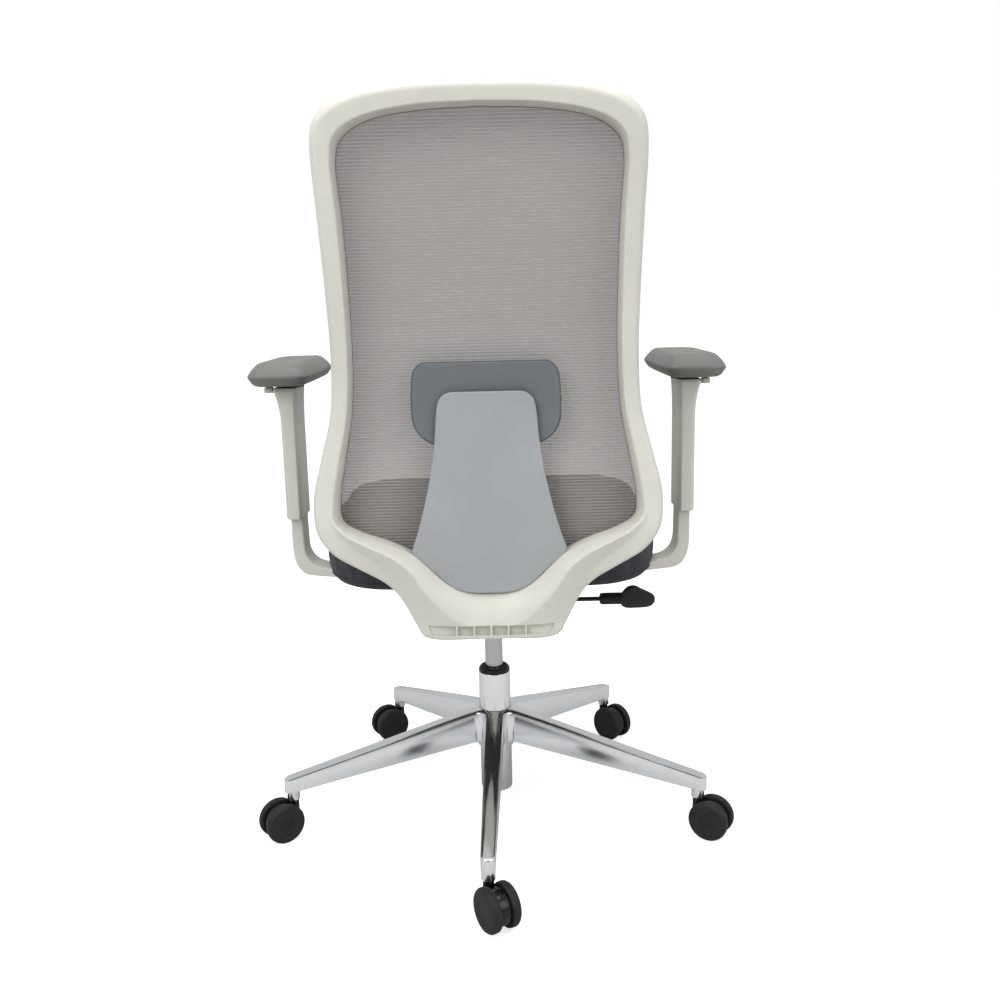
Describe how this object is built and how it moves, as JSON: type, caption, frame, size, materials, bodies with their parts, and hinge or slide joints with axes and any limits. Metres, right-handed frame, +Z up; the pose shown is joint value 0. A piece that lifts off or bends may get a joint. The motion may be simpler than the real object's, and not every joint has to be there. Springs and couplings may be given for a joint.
{
  "type": "office chair",
  "caption": "Swivel office task chair with a mesh back in a moulded frame, upholstered seat, adjustable arms, gas lift and a five-star base on castors.",
  "frame": {"origin": "on the floor plane, at the middle of the chair's width and depth at rest", "axes": "+Z up, -Y the way the sitter faces, +X the sitter's left"},
  "size_m": [0.7245, 0.669, 1.058],
  "materials": {
    "polished_aluminium": "polished casting with a faint waviness",
    "chrome": "bright chrome plating",
    "steel": "zinc-plated steel",
    "powder_coat": "fine-textured black powder coat",
    "black_plastic": "satin black nylon",
    "castor_plastic": "satin black nylon with softer treads",
    "cream_plastic": "fine matt moulded cream nylon",
    "plate_plastic": "satin blue-grey moulded plastic",
    "lumbar_grey": "matt dark blue-grey soft plastic",
    "arm_grey": "soft grey integral-skin polyurethane",
    "mesh_grey": "grey elastic mesh with fine level ribs",
    "seat_fabric": "charcoal woven upholstery"
  },
  "bodies": {
    "base": {"base_star": "polished_aluminium", "column_tube": "chrome", "column_bush": "black_plastic", "castor_1_stem": "steel", "castor_2_stem": "steel", "castor_3_stem": "steel", "castor_4_stem": "steel", "castor_5_stem": "steel"},
    "spindle": {"piston_rod": "steel", "thrust_bearing": "steel"},
    "lift": {"gas_cylinder": "chrome", "mechanism_housing": "powder_coat", "tilt_pivot_pin": "steel"},
    "lever_rocker": {"lever_rocker": "powder_coat"},
    "lever": {"lever_rod": "powder_coat", "lever_handle": "black_plastic"},
    "seat": {"tilt_plate": "powder_coat", "tilt_spring": "steel", "seat_pan": "black_plastic", "seat_cushion": "seat_fabric", "back_frame": "cream_plastic", "back_bolt_left": "steel", "back_bolt_right": "steel", "mesh_carrier": "mesh_grey", "back_mesh": "mesh_grey", "lumbar_plate": "plate_plastic", "arm_bracket_left": "cream_plastic", "arm_bracket_right": "cream_plastic"},
    "tension": {"tension_bolt": "steel", "tension_knob": "black_plastic"},
    "lumbar": {"lumbar_pad": "lumbar_grey"},
    "arm_left": {"arm_sleeve_left": "cream_plastic"},
    "arm_button_left": {"arm_button_left": "cream_plastic"},
    "arm_pivot_left": {"arm_pivot_plate_left": "powder_coat"},
    "arm_pad_left": {"arm_pad_left": "arm_grey"},
    "arm_right": {"arm_sleeve_right": "cream_plastic"},
    "arm_button_right": {"arm_button_right": "cream_plastic"},
    "arm_pivot_right": {"arm_pivot_plate_right": "powder_coat"},
    "arm_pad_right": {"arm_pad_right": "arm_grey"},
    "castor_1": {"castor_1_hood": "castor_plastic", "castor_1_axle": "steel"},
    "castor_1_wheel_left": {"castor_1_wheel_left": "castor_plastic"},
    "castor_1_wheel_right": {"castor_1_wheel_right": "castor_plastic"},
    "castor_2": {"castor_2_hood": "castor_plastic", "castor_2_axle": "steel"},
    "castor_2_wheel_left": {"castor_2_wheel_left": "castor_plastic"},
    "castor_2_wheel_right": {"castor_2_wheel_right": "castor_plastic"},
    "castor_3": {"castor_3_hood": "castor_plastic", "castor_3_axle": "steel"},
    "castor_3_wheel_left": {"castor_3_wheel_left": "castor_plastic"},
    "castor_3_wheel_right": {"castor_3_wheel_right": "castor_plastic"},
    "castor_4": {"castor_4_hood": "castor_plastic", "castor_4_axle": "steel"},
    "castor_4_wheel_left": {"castor_4_wheel_left": "castor_plastic"},
    "castor_4_wheel_right": {"castor_4_wheel_right": "castor_plastic"},
    "castor_5": {"castor_5_hood": "castor_plastic", "castor_5_axle": "steel"},
    "castor_5_wheel_left": {"castor_5_wheel_left": "castor_plastic"},
    "castor_5_wheel_right": {"castor_5_wheel_right": "castor_plastic"}
  },
  "joints": [
    {"name": "seat_swivel", "type": "hinge", "parent": "base", "child": "spindle", "pos_m": [0, -0.047, 0.05], "axis": [0, 0, 1], "continuous": true},
    {"name": "seat_height", "type": "slide", "parent": "spindle", "child": "lift", "axis": [0, 0, 1], "range_m": [-0.08, 0]},
    {"name": "seat_tilt", "type": "hinge", "parent": "lift", "child": "seat", "pos_m": [0, -0.092, 0.379], "axis": [-1, 0, 0], "range_deg": [0, 12], "stiffness_Nm_per_rad": 150, "springref_deg": -20.05, "deforming": ["tilt_spring"]},
    {"name": "lever_lift", "type": "hinge", "parent": "lift", "child": "lever_rocker", "pos_m": [-0.062, -0.082, 0.33], "axis": [0, 1, 0], "range_deg": [0, 4], "stiffness_Nm_per_rad": 4, "springref_deg": -11.46},
    {"name": "lever_pull", "type": "slide", "parent": "lever_rocker", "child": "lever", "axis": [-1, 0, 0], "range_m": [0, 0.01]},
    {"name": "tension_turn", "type": "hinge", "parent": "seat", "child": "tension", "pos_m": [0, -0.139, 0.287], "axis": [0, 0, 1], "continuous": true},
    {"name": "lumbar_height", "type": "slide", "parent": "seat", "child": "lumbar", "axis": [0, 0.0698, 0.9976], "range_m": [-0.015, 0.015]},
    {"name": "arm_left_height", "type": "slide", "parent": "seat", "child": "arm_left", "axis": [0, 0, 1], "range_m": [-0.045, 0.03]},
    {"name": "arm_left_button", "type": "slide", "parent": "arm_left", "child": "arm_button_left", "axis": [0, 0, 1], "range_m": [0, 0.003], "stiffness_N_per_m": 600, "springref_m": -0.004},
    {"name": "arm_left_pad_turn", "type": "hinge", "parent": "arm_left", "child": "arm_pivot_left", "pos_m": [0.2993, -0.061, 0.685], "axis": [0, 0, 1], "range_deg": [-15, 15]},
    {"name": "arm_left_pad_slide", "type": "slide", "parent": "arm_pivot_left", "child": "arm_pad_left", "axis": [0, -1, 0], "range_m": [-0.025, 0.025]},
    {"name": "arm_right_height", "type": "slide", "parent": "seat", "child": "arm_right", "axis": [0, 0, 1], "range_m": [-0.045, 0.03]},
    {"name": "arm_right_button", "type": "slide", "parent": "arm_right", "child": "arm_button_right", "axis": [0, 0, 1], "range_m": [0, 0.003], "stiffness_N_per_m": 600, "springref_m": -0.004},
    {"name": "arm_right_pad_turn", "type": "hinge", "parent": "arm_right", "child": "arm_pivot_right", "pos_m": [-0.2993, -0.061, 0.685], "axis": [0, 0, 1], "range_deg": [-15, 15]},
    {"name": "arm_right_pad_slide", "type": "slide", "parent": "arm_pivot_right", "child": "arm_pad_right", "axis": [0, -1, 0], "range_m": [-0.025, 0.025]},
    {"name": "castor_1_swivel", "type": "hinge", "parent": "base", "child": "castor_1", "pos_m": [0.01134, 0.2778, 0.055], "axis": [0, 0, 1], "continuous": true},
    {"name": "castor_1_roll_left", "type": "hinge", "parent": "castor_1", "child": "castor_1_wheel_left", "pos_m": [0.00034, 0.29685, 0.03], "axis": [-0.866, -0.5, 0], "continuous": true},
    {"name": "castor_1_roll_right", "type": "hinge", "parent": "castor_1", "child": "castor_1_wheel_right", "pos_m": [0.00034, 0.29685, 0.03], "axis": [-0.866, -0.5, 0], "continuous": true},
    {"name": "castor_2_swivel", "type": "hinge", "parent": "base", "child": "castor_2", "pos_m": [-0.3054, 0.06416, 0.055], "axis": [0, 0, 1], "continuous": true},
    {"name": "castor_2_roll_left", "type": "hinge", "parent": "castor_2", "child": "castor_2_wheel_left", "pos_m": [-0.32406, 0.07581, 0.03], "axis": [-0.5299, -0.848, 0], "continuous": true},
    {"name": "castor_2_roll_right", "type": "hinge", "parent": "castor_2", "child": "castor_2_wheel_right", "pos_m": [-0.32406, 0.07581, 0.03], "axis": [-0.5299, -0.848, 0], "continuous": true},
    {"name": "castor_3_swivel", "type": "hinge", "parent": "base", "child": "castor_3", "pos_m": [-0.20009, -0.3031, 0.055], "axis": [0, 0, 1], "continuous": true},
    {"name": "castor_3_roll_left", "type": "hinge", "parent": "castor_3", "child": "castor_3_wheel_left", "pos_m": [-0.21452, -0.2865, 0.03], "axis": [-0.7547, -0.6561, 0], "continuous": true},
    {"name": "castor_3_roll_right", "type": "hinge", "parent": "castor_3", "child": "castor_3_wheel_right", "pos_m": [-0.21452, -0.2865, 0.03], "axis": [-0.7547, -0.6561, 0], "continuous": true},
    {"name": "castor_4_swivel", "type": "hinge", "parent": "base", "child": "castor_4", "pos_m": [0.18174, -0.31644, 0.055], "axis": [0, 0, 1], "continuous": true},
    {"name": "castor_4_roll_left", "type": "hinge", "parent": "castor_4", "child": "castor_4_wheel_left", "pos_m": [0.20079, -0.30544, 0.03], "axis": [-0.5, 0.866, 0], "continuous": true},
    {"name": "castor_4_roll_right", "type": "hinge", "parent": "castor_4", "child": "castor_4_wheel_right", "pos_m": [0.20079, -0.30544, 0.03], "axis": [-0.5, 0.866, 0], "continuous": true},
    {"name": "castor_5_swivel", "type": "hinge", "parent": "base", "child": "castor_5", "pos_m": [0.31241, 0.04258, 0.055], "axis": [0, 0, 1], "continuous": true},
    {"name": "castor_5_roll_left", "type": "hinge", "parent": "castor_5", "child": "castor_5_wheel_left", "pos_m": [0.33021, 0.05551, 0.03], "axis": [-0.5878, 0.809, 0], "continuous": true},
    {"name": "castor_5_roll_right", "type": "hinge", "parent": "castor_5", "child": "castor_5_wheel_right", "pos_m": [0.33021, 0.05551, 0.03], "axis": [-0.5878, 0.809, 0], "continuous": true}
  ]
}
